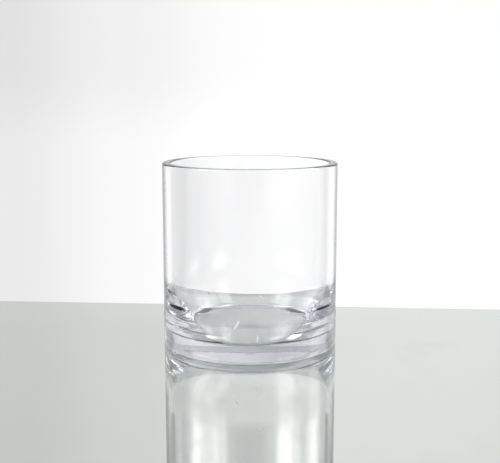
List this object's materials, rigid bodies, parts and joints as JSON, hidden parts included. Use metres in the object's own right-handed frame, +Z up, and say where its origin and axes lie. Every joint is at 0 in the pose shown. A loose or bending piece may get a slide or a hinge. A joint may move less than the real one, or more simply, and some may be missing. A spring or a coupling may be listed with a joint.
{
  "type": "glass cylinder vase",
  "caption": "Straight clear-glass florist's cylinder vase, open at the top, with a rounded rim, an inner wall that thickens into a solid base and a nearly flat underside.",
  "frame": {"origin": "centre of the base, on the plane of the contact ring", "axes": "+Z up along the axis of the cylinder, towards the mouth; X and Y are any two directions square to it, because the vase is round"},
  "size_m": [0.1, 0.1, 0.104],
  "materials": {
    "clear_glass": "smooth clear soda-lime glass, fire-polished, with a faint lavender-grey edge colour"
  },
  "bodies": {
    "root": {"glass_vase": "clear_glass"}
  },
  "joints": []
}
